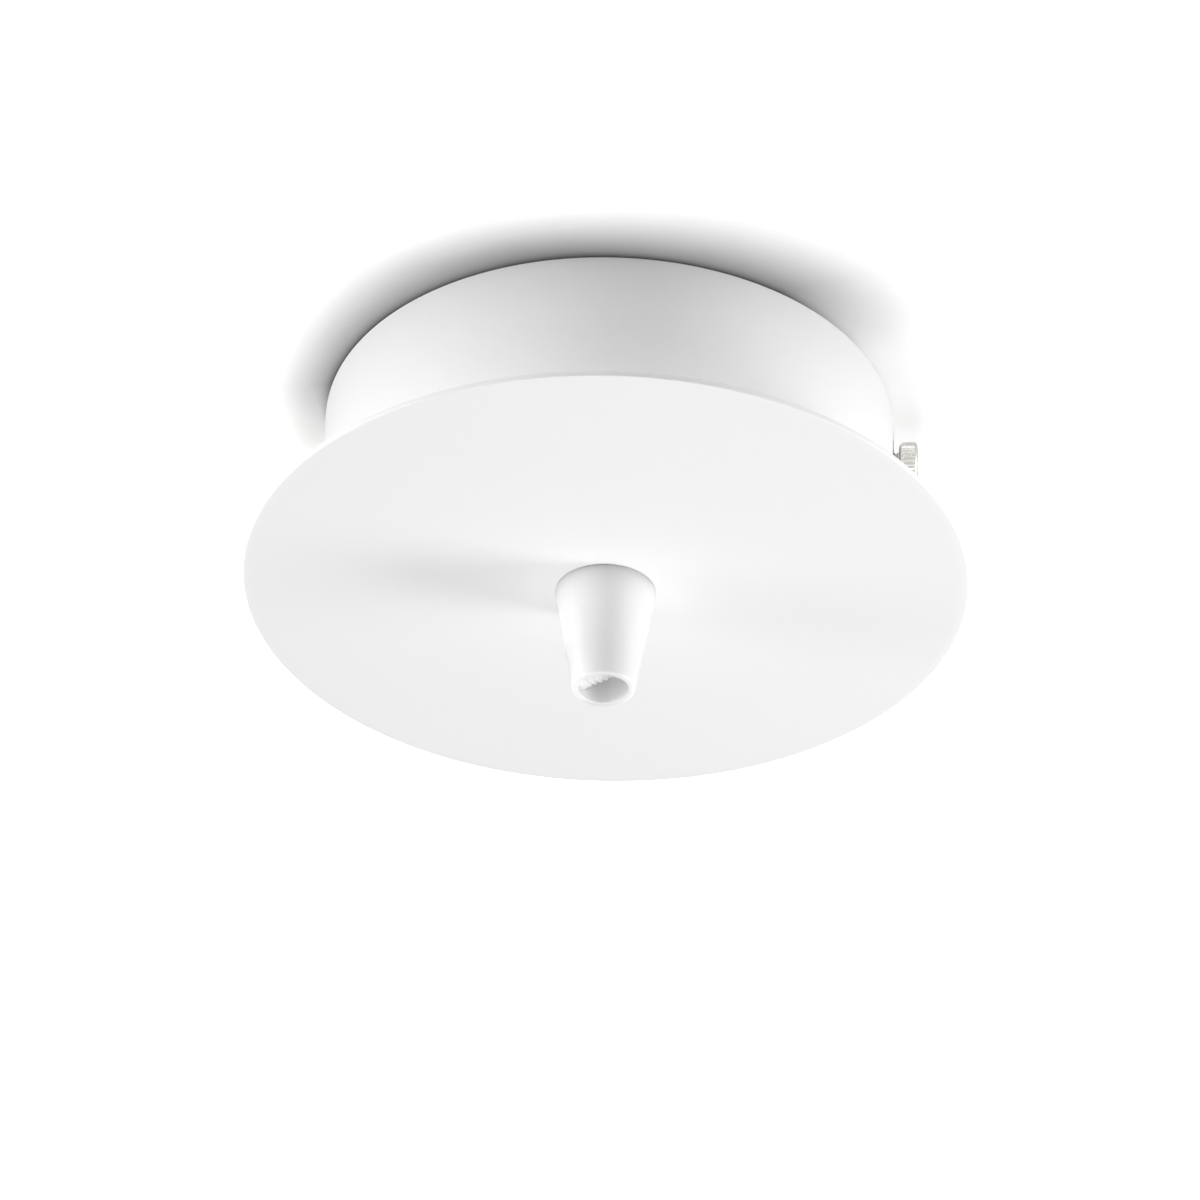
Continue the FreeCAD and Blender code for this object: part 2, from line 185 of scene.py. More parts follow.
def holedWalls(outer, inner, steps, windows, bearing, place, axis):
    # The outer and inner face of a round wall over one stretch of height. Each is plain beside its window
    # and holed inside it, and the hole's own wall joins their two rings. windows is the number of such
    # holes round the wall.
    grids, rings = [], []
    for face, inwards in ((outer, 1), (inner, -1)):
        low, high, columns, rows, base, slope = (face[key] for key in ("low", "high", "columns", "rows",
                                                                       "base", "slope"))
        half = columns * math.pi / steps
        levels = np.linspace(low, high, rows + 1)
        plain = np.linspace(bearing + half, bearing + 2 * math.pi / windows - half,
                            steps // windows - columns + 1)
        edge = windowEdge(bearing, half, low, high, columns, rows)
        made, ring = holeGrids(edge, bearing, place, axis, face["hole"], base, slope, face["rounding"],
                               inwards)
        grids += [turnedGrid(stacked(base + slope * levels, levels), plain), *made]
        rings.append(ring)
    return grids + [ruledGrid(*rings)]


# Meshes and pieces

def gridFaces(rows, columns):
    first = np.arange(rows - 1)[:, None] * columns + np.arange(columns - 1)[None, :]
    return stacked(first, first + 1, first + columns + 1, first + columns).reshape(-1, 4)


def meshOfGrids(name, grids):
    # The points of all grids in one list and the quads between them. bmesh then joins the points that meet,
    # so that seams and poles close, and turns every face outwards.
    points = np.concatenate([grid.reshape(-1, 3) for grid in grids]) * mm
    counts = [grid.shape[0] * grid.shape[1] for grid in grids]
    starts = np.concatenate([[0], np.cumsum(counts)[:-1]])
    faces = np.concatenate([gridFaces(*grid.shape[:2]) + start for grid, start in zip(grids, starts)])
    mesh = bpy.data.meshes.new(name)
    mesh.vertices.add(len(points))
    mesh.vertices.foreach_set("co", points.ravel())
    mesh.loops.add(faces.size)
    mesh.loops.foreach_set("vertex_index", faces.ravel())
    mesh.polygons.add(len(faces))
    mesh.polygons.foreach_set("loop_start", np.arange(0, faces.size, 4))
    mesh.update(calc_edges=True)
    work = bmesh.new()
    work.from_mesh(mesh)
    bmesh.ops.remove_doubles(work, verts=work.verts, dist=weldDistance)
    closeMesh(work, mesh)
    return mesh


def closeMesh(work, mesh):
    bmesh.ops.recalc_face_normals(work, faces=work.faces)
    if work.calc_volume(signed=True) < 0:
        bmesh.ops.reverse_faces(work, faces=work.faces)
    work.to_mesh(mesh)
    work.free()


def newObject(name, data):
    made = bpy.data.objects.new(name, data)
    bpy.context.scene.collection.objects.link(made)
    return made


def finishPiece(name, mesh, slot, body, node, bevel=0.0, sharpAngle=42.0):
    # The slot's name also picks the finish from the dictionary of finishes.
    mesh.materials.append(finishes[slot])
    mesh.polygons.foreach_set("use_smooth", np.ones(len(mesh.polygons), bool))
    mesh.set_sharp_from_angle(angle=math.radians(sharpAngle))
    piece = newObject(name, mesh)
    if bevel:
        edgeBevel = piece.modifiers.new("edge", "BEVEL")
        edgeBevel.width = bevel * mm
        edgeBevel.segments = 2
        edgeBevel.limit_method = "ANGLE"
        edgeBevel.angle_limit = math.radians(sharpAngle)
        edgeBevel.harden_normals = True
    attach(piece, body)
    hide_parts(node)
    edges = np.empty(len(mesh.loops), np.int32)
    mesh.loops.foreach_get("edge_index", edges)
    openEdges = int(np.count_nonzero(np.bincount(edges) != 2))
    print("piece", name, len(mesh.polygons), "faces,", openEdges, "open edges")


def gridPiece(name, grids, slot, body, node, **finish):
    finishPiece(name, meshOfGrids(name, grids), slot, body, node, **finish)


# Finishes

def startMaterial(name, sockets):
    material = bpy.data.materials.new(name)
    material.use_nodes = True
    shader = material.node_tree.nodes["Principled BSDF"]
    for socket, value in sockets.items():
        shader.inputs[socket].default_value = value
    return material, material.node_tree, shader


def addNode(tree, kind, inputs=None, **settings):
    node = tree.nodes.new(kind)
    for setting, value in settings.items():
        setattr(node, setting, value)
    for socket, value in (inputs or {}).items():
        if isinstance(value, bpy.types.NodeSocket):
            tree.links.new(value, node.inputs[socket])
        else:
            node.inputs[socket].default_value = value
    return node


def objectPlace(tree, stretch=(1, 1, 1)):
    coordinate = addNode(tree, "ShaderNodeTexCoord")
    mapping = addNode(tree, "ShaderNodeMapping", {"Vector": coordinate.outputs["Object"], "Scale": stretch})
    return mapping.outputs["Vector"]


def noise(tree, place, size, **settings):
    # A noise with features about size millimetres wide, as a number from 0 to 1.
    inputs = {"Vector": place, "Scale": 1000 / size, **settings}
    return addNode(tree, "ShaderNodeTexNoise", inputs).outputs["Fac"]


def mapped(tree, value, fromLow, fromHigh, toLow, toHigh):
    # A number that runs from toLow to toHigh while the value runs from fromLow to fromHigh.
    inputs = {"Value": value, "From Min": fromLow, "From Max": fromHigh, "To Min": toLow, "To Max": toHigh}
    return addNode(tree, "ShaderNodeMapRange", inputs).outputs["Result"]


def dressShader(tree, shader, settings, tone, gloss, relief):
    # The tone mixes shade and colour, the gloss runs the roughness over the noise's usual span, and the
    # relief is a bump of (depth, strength).
    mix = addNode(tree, "ShaderNodeMix", data_type="RGBA")
    tree.links.new(tone, mix.inputs[0])
    mix.inputs[6].default_value = (*settings["shade"], 1)
    mix.inputs[7].default_value = (*settings["colour"], 1)
    depth, strength = settings["relief"]
    bump = addNode(tree, "ShaderNodeBump", {"Height": relief, "Distance": depth * mm, "Strength": strength})
    tree.links.new(mix.outputs[2], shader.inputs["Base Color"])
    tree.links.new(mapped(tree, gloss, 0.3, 0.7, *settings["roughness"]), shader.inputs["Roughness"])
    tree.links.new(bump.outputs["Normal"], shader.inputs["Normal"])


powder = {
    "sockets": {"IOR": 1.48, "Specular IOR Level": 0.35},
    "colour": (0.905, 0.905, 0.903),
    "shade": (0.890, 0.890, 0.888),
    "roughness": (0.42, 0.50),
    "cloudSize": 45.0,
    "peelSize": 0.9,       # width of one dimple of the orange peel
    "relief": (0.012, 0.5),
}


def powderCoat(name):
    material, tree, shader = startMaterial(name, powder["sockets"])
    place = objectPlace(tree)
    cloud = noise(tree, place, powder["cloudSize"], Detail=2.0)
    peel = noise(tree, place, powder["peelSize"], Detail=3.0, Roughness=0.45)
    dressShader(tree, shader, powder, cloud, peel, peel)
    return material


whiteSettings = {
    "sockets": {"IOR": 1.53, "Coat Weight": 0.12, "Coat Roughness": 0.25, "Subsurface Weight": 0.8,
                "Subsurface Radius": (1, 1, 1), "Subsurface Scale": 0.008},
    "colour": (0.892, 0.892, 0.892), "shade": (0.872, 0.874, 0.877), "roughness": (0.30, 0.38),
    "flowSize": 9.0, "flowDetail": 2.0, "flowSwirl": 0.6, "grainSize": 0.35, "relief": (0.004, 0.4),
}
milkySettings = {
    "sockets": {"IOR": 1.53, "Subsurface Weight": 0.12, "Subsurface Scale": 0.002},
    "colour": (0.80, 0.79, 0.74), "shade": (0.74, 0.725, 0.665), "roughness": (0.36, 0.46),
    "flowSize": 6.0, "flowDetail": 3.0, "flowSwirl": 1.2, "grainSize": 0.4, "relief": (0.006, 0.4),
}


def mouldedNylon(name, settings):
    material, tree, shader = startMaterial(name, settings["sockets"])
    place = objectPlace(tree)
    flow = noise(tree, place, settings["flowSize"], Detail=settings["flowDetail"],
                 Distortion=settings["flowSwirl"])
    grain = noise(tree, place, settings["grainSize"], Detail=2.0)
    dressShader(tree, shader, settings, flow, flow, grain)
    return material


zincSettings = {
    "colour": (0.74, 0.75, 0.765), "shade": (0.60, 0.615, 0.64), "roughness": (0.26, 0.42),
    "patchSize": 7.0, "lineSize": 1.4, "lineStretch": (0.06, 1, 1), "relief": (0.012, 0.35),
}
nickelSettings = {
    "colour": (0.80, 0.785, 0.755), "shade": (0.70, 0.685, 0.655), "roughness": (0.20, 0.30),
    "patchSize": 2.5, "lineSize": 0.6, "lineStretch": (1, 0.3, 0.3), "relief": (0.004, 0.3),
}
screwSettings = {
    "colour": (0.70, 0.71, 0.72), "shade": (0.55, 0.56, 0.57), "roughness": (0.24, 0.38),
    "patchSize": 1.6, "lineSize": 0.5, "lineStretch": (1, 1, 0.3), "relief": (0.004, 0.3),
}
brassSettings = {
    "colour": (0.80, 0.62, 0.30), "shade": (0.68, 0.50, 0.22), "roughness": (0.22, 0.36),
    "patchSize": 3.0, "lineSize": 0.5, "lineStretch": (1, 0.15, 0.15), "relief": (0.004, 0.35),
}
yellowSettings = {
    "colour": (0.80, 0.68, 0.34), "shade": (0.70, 0.60, 0.42), "roughness": (0.26, 0.38),
    "patchSize": 1.8, "lineSize": 0.6, "lineStretch": (1, 0.3, 1), "relief": (0.004, 0.3),
}


def platedMetal(name, settings):
    # A patchy tone, and fine lines drawn along one axis that break up the gloss.
    material, tree, shader = startMaterial(name, {"Metallic": 1.0})
    patch = noise(tree, objectPlace(tree), settings["patchSize"], Detail=4.0, Roughness=0.6)
    lines = noise(tree, objectPlace(tree, settings["lineStretch"]), settings["lineSize"], Detail=3.0,
                  Roughness=0.6)
    dressShader(tree, shader, settings, patch, lines, lines)
    return material


finishes = {
    "white_powder_coat": powderCoat("whitePowderCoat"),
    "white_nylon": mouldedNylon("whiteNylon", whiteSettings),
    "natural_nylon": mouldedNylon("milkyNylon", milkySettings),
    "zinc_steel": platedMetal("zincPlate", zincSettings),
    "nickel": platedMetal("nickelPlate", nickelSettings),
    "screw_steel": platedMetal("screwZinc", screwSettings),
    "brass": platedMetal("turnedBrass", brassSettings),
    "brass_plated": platedMetal("yellowPassivate", yellowSettings),
}
print("materials made")


# Canopy cup and cover disc

cupLow, cupHigh = nodeBox("canopy_cup")
cup = {
    "radius": cupHigh[0],
    "depth": -cupLow[2],
    "wall": 1.0,
    "cornerRadius": 2.5,
    "rimRadius": 0.3,
    "floorHole": 10.5,
    "screwHole": 5.6,
    "screwDrop": 10.0,
    "holeEdge": 0.2,
    "windowReach": 5.0,    # half height of the stretch of wall that each screw hole is set in
    "steps": 288,
    "windowColumns": 8,
}


def cupGrids():
    outer, inner, low = cup["radius"], cup["radius"] - cup["wall"], -cup["depth"]
    top, bottom = -cup["screwDrop"] + cup["windowReach"], -cup["screwDrop"] - cup["windowReach"]
    hole = cup["floorHole"] / 2
    rim = roundedPath([(outer, top), (outer, 0, cup["rimRadius"]), (inner, 0, cup["rimRadius"]),
                       (inner, top)])
    bowl = roundedPath([(inner, bottom), (inner, low + cup["wall"], cup["cornerRadius"] - cup["wall"]),
                        (hole, low + cup["wall"]), (hole, low), (outer, low, cup["cornerRadius"]),
                        (outer, bottom)], 10)
    grids = [turnedGrid(path, fullTurn(cup["steps"])) for path in (rim, bowl)]
    face = {"low": bottom, "high": top, "columns": cup["windowColumns"], "rows": cup["windowColumns"],
            "base": outer, "slope": 0, "hole": cup["screwHole"] / 2, "rounding": cup["holeEdge"]}
    for bearing in (0, math.pi):
        grids += holedWalls(face, {**face, "base": inner}, cup["steps"], 2, bearing,
                            (0, 0, -cup["screwDrop"]), (math.cos(bearing), math.sin(bearing), 0))
    return grids


gridPiece("canopyCup", cupGrids(), "white_powder_coat", "rose", "canopy_cup")

discLow, discHigh = nodeBox("cover_disc")
disc = {
    "radius": discHigh[0],
    "top": discHigh[2],
    "bottom": discLow[2],
    "hole": 10.5,
    "upperEdge": 0.3,
    "lowerEdge": 0.25,
    "crownWidth": 3.5,     # the lower face rises towards its rim over this width
    "crownDrop": 0.2,
    "steps": 360,
}


def discGrids():
    # Near the rim the lower face rises with the cube of the distance from where the crown starts.
    radius, top, bottom, hole = disc["radius"], disc["top"], disc["bottom"], disc["hole"] / 2
    width, drop = disc["crownWidth"], disc["crownDrop"]
    share = np.linspace(0, 0.9, 10)
    crown = stacked(radius - width * (1 - share), bottom + drop * share ** 3)
    rim = roundedPath([crown[-1], (radius, bottom + drop, disc["lowerEdge"]),
                       (radius, top, disc["upperEdge"]), (hole, top)])
    lower = stacked(np.linspace(hole, radius - width, 9)[:-1], bottom)
    path = np.concatenate([lower, crown[:-1], rim, lower[:1]])
    return [turnedGrid(path, fullTurn(disc["steps"]))]


gridPiece("coverDisc", discGrids(), "white_powder_coat", "rose", "cover_disc")
print("cup and disc made")


# Cord grip with its nipple, and the clamp screw in its flank

gripLow, gripHigh = nodeBox("cord_grip")
grip = {
    "baseRadius": gripHigh[0],
    "baseHeight": discLow[2],
    "tipRadius": 6.45,
    "tipHeight": gripLow[2],
    "baseEdge": 0.3,
    "tipEdge": 0.5,
    "boreRadius": 5.15,
    "boreDepth": 16.6,
    "mouthEdge": 0.4,
    "radius": 5.0,         # radius, root and pitch are the nipple's thread
    "root": 4.42,
    "pitch": 1.0,
    "nippleTop": gripHigh[2],
    "nippleBore": 3.8,
    "nippleTaper": 0.5,
    "outerWindow": (0.45, 7.4, 26, 22),  # low and high above the tip, columns and rows round the clamp hole
    "innerWindow": (0.5, 7.9, 36, 12),
    "steps": 144,
}
clamp = {
    "radius": 2.97,
    "root": 2.38,
    "pitch": 1.25,
    "length": 7.4,
    "height": 4.6,         # of its axis above the tip, where the axis meets the flank
    "bearing": 159.0,
    "holeRadius": 3.05,
    "holeEdge": 0.15,
    "recess": 1.0,
    "slotWidth": 1.0,
    "slotDepth": 1.4,
    "edge": 0.5,
}
flankSlope = (grip["baseRadius"] - grip["tipRadius"]) / (grip["baseHeight"] - grip["tipHeight"])
flankBase = grip["tipRadius"] - flankSlope * grip["tipHeight"]  # the flank's radius at height 0


def clampAxis():
    # The axis is square to the flank: its direction leans down by the flank's slope.
    bearing = math.radians(clamp["bearing"])
    height = grip["tipHeight"] + clamp["height"]
    radius = flankBase + flankSlope * height
    outward = np.array([math.cos(bearing), math.sin(bearing), -flankSlope])
    place = np.array([radius * math.cos(bearing), radius * math.sin(bearing), height])
    return place, outward / np.linalg.norm(outward)


def gripGrids():
    angles = fullTurn(grip["steps"], clamp["bearing"])
    bore, passage, tip, base, top = (grip[key] for key in ("boreRadius", "nippleBore", "tipHeight",
                                                           "baseHeight", "nippleTop"))

    def flank(height):
        return flankBase + flankSlope * height, height

    def face(window, wallBase, slope):
        low, high, columns, rows = window
        return {"low": tip + low, "high": tip + high, "columns": columns, "rows": rows, "base": wallBase,
                "slope": slope, "hole": clamp["holeRadius"], "rounding": clamp["holeEdge"]}

    outer = face(grip["outerWindow"], flankBase, flankSlope)
    inner = face(grip["innerWindow"], bore, 0)
    upper = roundedPath([(grip["radius"], base), (grip["baseRadius"], base, grip["baseEdge"]),
                         flank(outer["high"])])
    mouth = roundedPath([flank(outer["low"]), (grip["tipRadius"], tip, grip["tipEdge"]),
                         (bore, tip, grip["mouthEdge"]), (bore, inner["low"])])
    boreTop = tip + grip["boreDepth"]
    chamber = roundedPath([(bore, inner["high"]), (bore, boreTop), (passage, boreTop + bore - passage),
                           (passage, top)])
    grids = [turnedGrid(path, angles) for path in (upper, mouth, chamber)]
    grids += holedWalls(outer, inner, grip["steps"], 1, math.radians(clamp["bearing"]), *clampAxis())
    nipple = threadedShank(grip, angles, base, top, grip["nippleTaper"], 12)
    return grids + [nipple, ruledGrid(nipple[-1], turnedGrid(np.array([[passage, top]]), angles)[0])]


gridPiece("cordGrip", gripGrids(), "white_nylon", "rose", "cord_grip")


def slottedEnd(radius, edge, width, depth, steps=14):
    # The end of a round bar at height 0 with a straight slot along Y. Each half of the face is ruled from
    # its arc to the slot's edge, which lies at the angle acos(width / 2 / r) on a circle of radius r.
    # Returns the grids and the ring at the slot's depth that the bar goes on from.
    half = width / 2
    turn = np.linspace(0, math.pi / 2, 5)
    radii = np.concatenate([radius - edge * (1 - np.sin(turn)), [radius]])
    heights = np.concatenate([-edge * (1 - np.cos(turn)), [-depth]])
    share = np.linspace(-1, 1, steps + 1)
    theta = share[None, :] * np.arccos(half / radii)[:, None]
    arc = polar(radii[:, None], theta, heights[:, None])
    sine = np.sin(theta) / np.sin(theta[:, -1:])
    wallY = sine[0][None, :] * np.sqrt(radii ** 2 - half ** 2)[:, None]
    wall = stacked(half, wallY, heights[:, None])
    across = np.linspace(half, -half, 5)
    floorY = sine[0][None, :] * np.sqrt(radius ** 2 - across ** 2)[:, None]
    floor = stacked(across[:, None], floorY, -depth)
    grids = [floor]
    for side in (1, -1):
        flip = np.array([side, side, 1])
        grids += [arc * flip, wall * flip, ruledGrid(arc[0], wall[0]) * flip]
    ring = np.concatenate([arc[-1], floor[1:, -1], (arc[-1] * [-1, -1, 1])[1:], floor[::-1][1:, 0]])
    return grids, ring


def clampScrewGrids():
    # The outer end has the slot. Below it the radius follows the thread, and the tip is a plain cone.
    grids, ring = slottedEnd(clamp["radius"], clamp["edge"], clamp["slotWidth"], clamp["slotDepth"])
    angles = np.unwrap(np.arctan2(ring[:, 1], ring[:, 0]))
    shank = threadedShank(clamp, angles, -clamp["slotDepth"], -clamp["length"], clamp["edge"], 14)
    place, outward = clampAxis()
    return placed(grids + [shank, closingFace(shank[-1])], outward, place - outward * clamp["recess"])


gridPiece("clampScrew", clampScrewGrids(), "white_nylon", "clamp_screw", "cord_clamp_screw")
print("cord grip and clamp screw made")


# Thumb screws

thumb = {
    "headRadius": 4.1,
    "headLength": 3.9,
    "cornerRadius": 1.2,
    "ridges": 26,
    "ridgeSteps": 12,
    "cornerSteps": 16,
    "grooveDepth": 0.35,
    "crestFlat": 0.12,     # share of a ridge's width that is flat
    "blend": 0.05,         # softness of the line where the grooves run out
    "radius": 1.97,
    "root": 1.58,
    "pitch": 0.7,
    "length": 10.0,
    "tip": 0.4,
}


def thumbScrewGrids(side):
    # The head's radius is the smaller of its rounded outline and the grooved barrel, with a soft change:
    # (a + b - sqrt((a - b)^2 + blend^2)) / 2. The barrel's grooves are V shaped, cut to one depth.
    angles = fullTurn(thumb["ridges"] * thumb["ridgeSteps"])
    wave = np.abs(2 * np.mod(angles / (2 * math.pi) * thumb["ridges"], 1) - 1)
    wave = np.clip(wave / (1 - thumb["crestFlat"]), 0, 1)
    barrel = thumb["headRadius"] - thumb["grooveDepth"] * (1 - wave)
    corner, length, top = thumb["cornerRadius"], thumb["headLength"], thumb["headRadius"]
    outline = roundedPath([(thumb["radius"], 0), (top, 0, corner), (top, length, corner), (0, length)],
                          thumb["cornerSteps"])
    straight = np.linspace(corner, length - corner, 7)[1:-1]
    middle = stacked(top, straight)
    firstCorner = thumb["cornerSteps"] + 2
    outline = np.concatenate([outline[:firstCorner], middle, outline[firstCorner:]])
    plain = outline[:, 0, None]
    smooth = (plain + barrel - np.sqrt((plain - barrel) ** 2 + thumb["blend"] ** 2)) / 2
    inside = np.clip((plain - (top - corner)) / 0.3, 0, 1)
    radius = plain * (1 - inside) + smooth * inside
    head = polar(radius, angles, outline[:, 1, None])
    shank = threadedShank(thumb, fullTurn(72), 0, -thumb["length"], thumb["tip"])
    root = shank[0] + [0, 0, thumb["tip"]]
    grids = [head, closingFace(head[0]), shank, ruledGrid(shank[0], root), closingFace(root),
             closingFace(shank[-1])]
    low, high = nodeBox("thumb_screw_right")
    return placed(grids, (side, 0, 0), (side * (high[0] - length), 0, (low[2] + high[2]) / 2))


gridPiece("thumbScrewRight", thumbScrewGrids(1), "nickel", "right_thumb_screw", "thumb_screw_right")
gridPiece("thumbScrewLeft", thumbScrewGrids(-1), "nickel", "left_thumb_screw", "thumb_screw_left")
print("thumb screws made")


# Nut and washers

nut = {"width": 14.0, "chamferAngle": 30.0, "threadRadius": 5.05, "threadEdge": 0.4, "steps": 144}


def nutGrids():
    # The flats' radius is half the width over the cosine of the angle from the flat's middle. The chamfer
    # cone cuts them where that radius has grown past half the width, so the cut dips at every corner.
    low, high = nodeBox("grip_nut")
    angles = fullTurn(nut["steps"])
    inscribed = nut["width"] / 2
    fromMiddle = np.mod(angles, math.pi / 3) - math.pi / 6
    flats = inscribed / np.cos(fromMiddle)
    dip = (flats - inscribed) * math.tan(math.radians(nut["chamferAngle"]))
    bottom = low[2] - high[2]
    side = polar(stacked(inscribed, flats, flats, inscribed).T, angles,
                 stacked(bottom, bottom + dip, -dip, 0).T)
    bore, edge = nut["threadRadius"], nut["threadEdge"]
    path = np.array([[bore + edge, 0], [bore, -edge], [bore, bottom + edge], [bore + edge, bottom]])
    hole = turnedGrid(path, angles)
    grids = [side, hole, ruledGrid(side[-1], hole[0]), ruledGrid(side[0], hole[-1])]
    return [grid + [0, 0, high[2]] for grid in grids]


gridPiece("gripNut", nutGrids(), "zinc_steel", "rose", "grip_nut", sharpAngle=25.0)

lockWasher = {"radius": 9.0, "hole": 5.25, "thickness": 0.8, "teeth": 12, "toothDepth": 2.2, "gap": 1.6,
              "twist": 0.1, "steps": 8}
earthWasher = {"radius": 4.3, "hole": 2.05, "thickness": 0.62, "teeth": 10, "toothDepth": 1.0, "gap": 0.9,
               "twist": 0.09, "steps": 6}


def washerGrids(washer):
    # A flat ring with teeth on its outside. Each tooth is twisted: its lift grows with the angle from its
    # middle and with the distance outside the ring.
    pitch = 2 * math.pi / washer["teeth"]
    halfGap = math.asin(washer["gap"] / 2 / washer["radius"])
    root, half = washer["radius"] - washer["toothDepth"], washer["thickness"] / 2
    gapTurn = np.linspace(-halfGap, halfGap, 5)
    toothTurn = np.linspace(halfGap, pitch - halfGap, washer["steps"] + 1)
    across = np.linspace(-1, 1, washer["steps"] + 1)
    starts = np.arange(washer["teeth"]) * pitch
    around = np.concatenate([(starts[:, None] + np.concatenate([gapTurn, toothTurn[1:-1]])).ravel(),
                             [2 * math.pi - halfGap]])
    body = [[root, half], [washer["hole"], half], [washer["hole"], -half], [root, -half]]
    grids = [turnedGrid(np.array(body), around)]
    reach = np.linspace(0, 1, 5)[:, None]
    radius = root + washer["toothDepth"] * reach
    lift = washer["twist"] * across * reach
    for start in starts:
        angles = start + toothTurn
        faces = [polar(radius, angles, lift + side * half) for side in (1, -1)]
        grids += faces
        grids += [ruledGrid(faces[0][-1], faces[1][-1]), ruledGrid(faces[0][:, 0], faces[1][:, 0]),
                  ruledGrid(faces[0][:, -1], faces[1][:, -1]),
                  turnedGrid(np.array([[root, half], [root, -half]]), start + gapTurn)]
    return grids


def seatedWasher(washer, node, direction):
    low, high = nodeBox(node)
    return placed(washerGrids(washer), direction, (low + high) / 2)


gridPiece("gripWasher", seatedWasher(lockWasher, "grip_lock_washer", (0, 0, 1)), "zinc_steel", "rose",
          "grip_lock_washer")
gridPiece("earthRing", seatedWasher(earthWasher, "earth_washer", (0, -1, 0)), "brass_plated",
          "earth_terminal", "earth_washer")
print("nut and washers made")


# Slotted cheese-head screws

earthScrewSizes = {"head": 3.5, "headLength": 2.4, "slotWidth": 1.2, "slotDepth": 1.2, "edge": 0.3,
                   "radius": 1.97, "root": 1.58, "pitch": 0.7, "length": 8.0, "tip": 0.3}
wireScrewSizes = {"head": 2.0, "headLength": 1.8, "slotWidth": 0.8, "slotDepth": 0.9, "edge": 0.3,
                  "radius": 1.48, "root": 1.2, "pitch": 0.5, "length": 5.0, "tip": 0.3}
housingScrewSizes = {"head": 2.25, "headLength": 1.6, "slotWidth": 0.8, "slotDepth": 0.8, "edge": 0.3,
                     "radius": 1.23, "root": 0.98, "pitch": 0.45, "length": 4.0, "tip": 0.3}


def headedScrew(name, node, sizes, direction, body, slot):
    # The head's face looks along the direction from the top of the node's box, and the shank runs the
    # other way.
    head, length = sizes["head"], sizes["headLength"]
    grids, ring = slottedEnd(head, sizes["edge"], sizes["slotWidth"], sizes["slotDepth"])
    angles = np.unwrap(np.arctan2(ring[:, 1], ring[:, 0]))
    neck = turnedGrid(np.array([[head, -sizes["slotDepth"]], [head, -length], [sizes["radius"], -length]]),
                      angles)
    shank = threadedShank(sizes, angles, -length, -length - sizes["length"], sizes["tip"])
    low, high = nodeBox(node)
    direction = np.array(direction, float)
    top = (low + high) / 2 + direction * ((high - low) / 2 @ np.abs(direction))
    gridPiece(name, placed(grids + [neck, shank, closingFace(shank[-1])], direction, top), slot, body, node)


headedScrew("earthScrew", "earth_screw", earthScrewSizes, (0, -1, 0), "earth_terminal", "brass_plated")
for pole in "123":
    for end in "ab":
        headedScrew("wireScrew" + pole + end, "terminal_screw_" + pole + end, wireScrewSizes, (0, 0, -1),
                    "wire_screw_" + pole + end, "screw_steel")
for number in "12":
    headedScrew("housingScrew" + number, "housing_screw_" + number, housingScrewSizes, (0, 0, -1), "rose",
                "screw_steel")
print("slotted screws made")


# Ceiling bracket

bracketHigh = nodeBox("ceiling_bracket")[1]
bracket = {
    "faceX": bracketHigh[0],
    "halfWidth": bracketHigh[1],
    "thickness": 1.5,
    "outerBend": 2.5,
    "earDrop": 16.0,
    "earCorner": 4.0,
    "holeDrop": 10.0,
    "screwHole": 2.05,
    "collarRadius": 3.3,
    "collarLength": 1.5,
    "collarEdge": 0.25,
    "slotPlace": 38.0,
    "slotRun": 5.6,        # half of the distance between the centres of a slot's round ends
    "slotRadius": 2.4,
    "slotReach": 11.5,     # half length of the stretch of strap that a slot is set in
    "cableHole": 7.0,
    "cableReach": 9.5,
    "housingScrewPlace": (20.0, 6.25),
    "housingScrewHole": 1.3,
    "housingScrewReach": 5.5,
    "tabPlace": -20.0,
    "tabHalfWidth": 5.5,
    "tabDrop": 14.0,
    "tabCorner": 3.0,
    "tabHoleDrop": 8.5,
    "edge": 0.16,
    "side": 16,            # intervals across the strap
}


def folded(along, across, depth, flat, bend):
    # A strip folded down at its end: flat out to the length flat, a quarter turn of outer radius bend, then
    # straight down. depth is measured inwards from the outer face.
    run = np.abs(along)
    turn = np.clip((run - flat) / bend, 0, math.pi / 2)
    drop = np.maximum(run - flat - bend * math.pi / 2, 0)
    reach = bend - depth
    outward = np.sign(along) * (np.minimum(run, flat) + reach * np.sin(turn))
    height = reach * np.cos(turn) - bend - drop
    return stacked(outward, across, height)


def slotEdge(edge, centre, run, radius):
    # The rounded slot inside a closed edge: each point is pulled to a circle round its nearest centre.
    offset = edge - centre
    core = stacked(np.clip(offset[:, 0], -run, run), 0)
    direction = offset - core
    return centre + core + radius * direction / np.linalg.norm(direction, axis=1, keepdims=True)


def tongueEdge(halfWidth, drop, corner, across, sideSteps=5, cornerSteps=8, endSteps=6):
    # Edge of a tongue as (down, across): along its root, down one side, round both corners and back up.
    bend = np.linspace(0, math.pi / 2, cornerSteps + 1)
    down = np.linspace(0, drop - corner, sideSteps + 1)
    side = stacked(down, halfWidth)
    arc = stacked(drop - corner + corner * np.sin(bend), halfWidth - corner + corner * np.cos(bend))
    endLine = stacked(drop, np.linspace(halfWidth - corner, corner - halfWidth, endSteps + 1))
    mirror = np.array([1, -1])
    return np.concatenate([stacked(0, across), side[1:], arc[1:], endLine[1:], (arc * mirror)[::-1][1:],
                           (side * mirror)[::-1][1:]])


